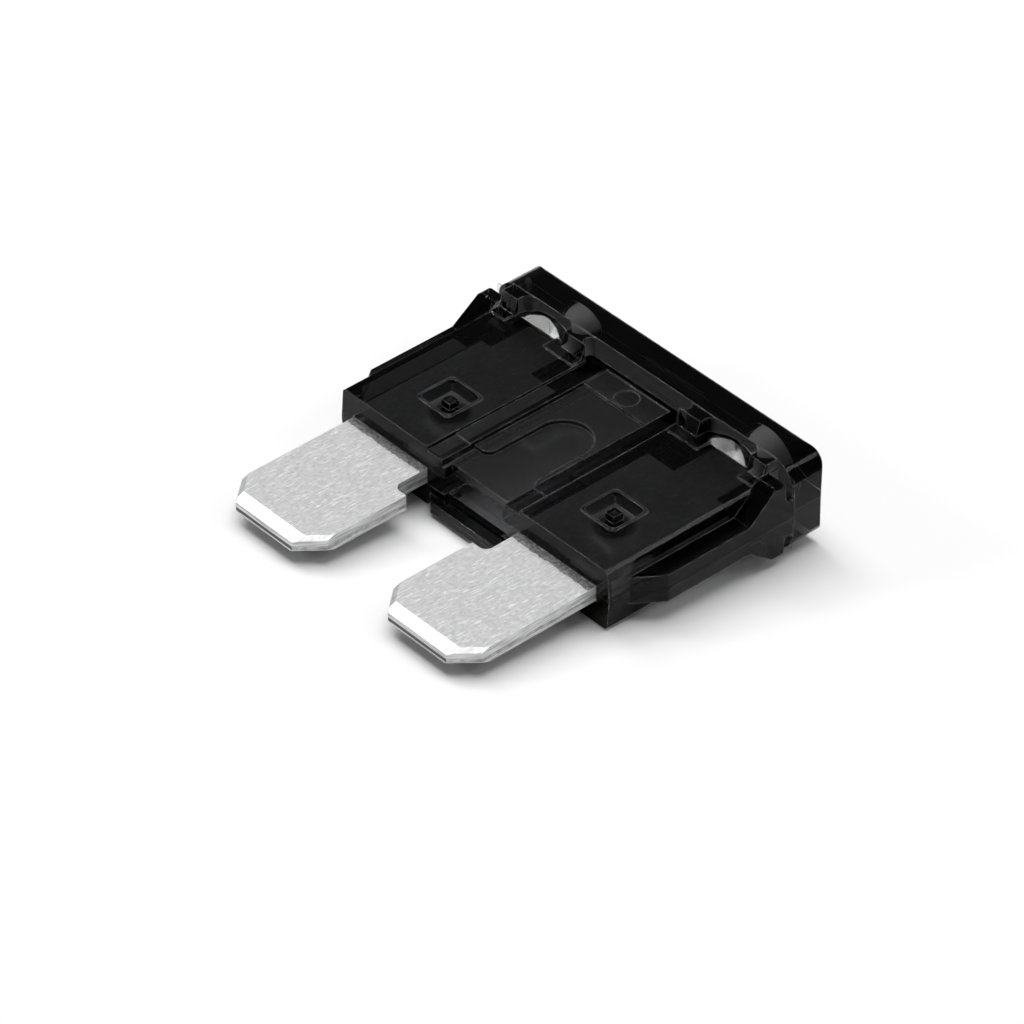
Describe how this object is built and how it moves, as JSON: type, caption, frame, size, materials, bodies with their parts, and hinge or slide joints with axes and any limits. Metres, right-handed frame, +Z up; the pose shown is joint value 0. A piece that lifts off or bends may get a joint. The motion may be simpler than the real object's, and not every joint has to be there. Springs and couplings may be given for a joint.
{
  "type": "automotive blade fuse",
  "caption": "Plug-in blade fuse: a see-through moulded housing with a thick head, side flanges and a recessed window, and two flat metal blades with bevelled tips.",
  "frame": {"origin": "middle of the bounding box at its lowest face, the broad side of the head on which the fuse lies", "axes": "+Y along the blades from their tips to the head, +X across the two blades, +Z up through the thickness"},
  "size_m": [0.019, 0.0192, 0.0049],
  "materials": {
    "housing": "see-through smoke plastic, glossy",
    "element": "matt stamped zinc with fine drawing marks"
  },
  "bodies": {
    "root": {"housing": "housing", "fuse_element": "element"}
  },
  "joints": []
}
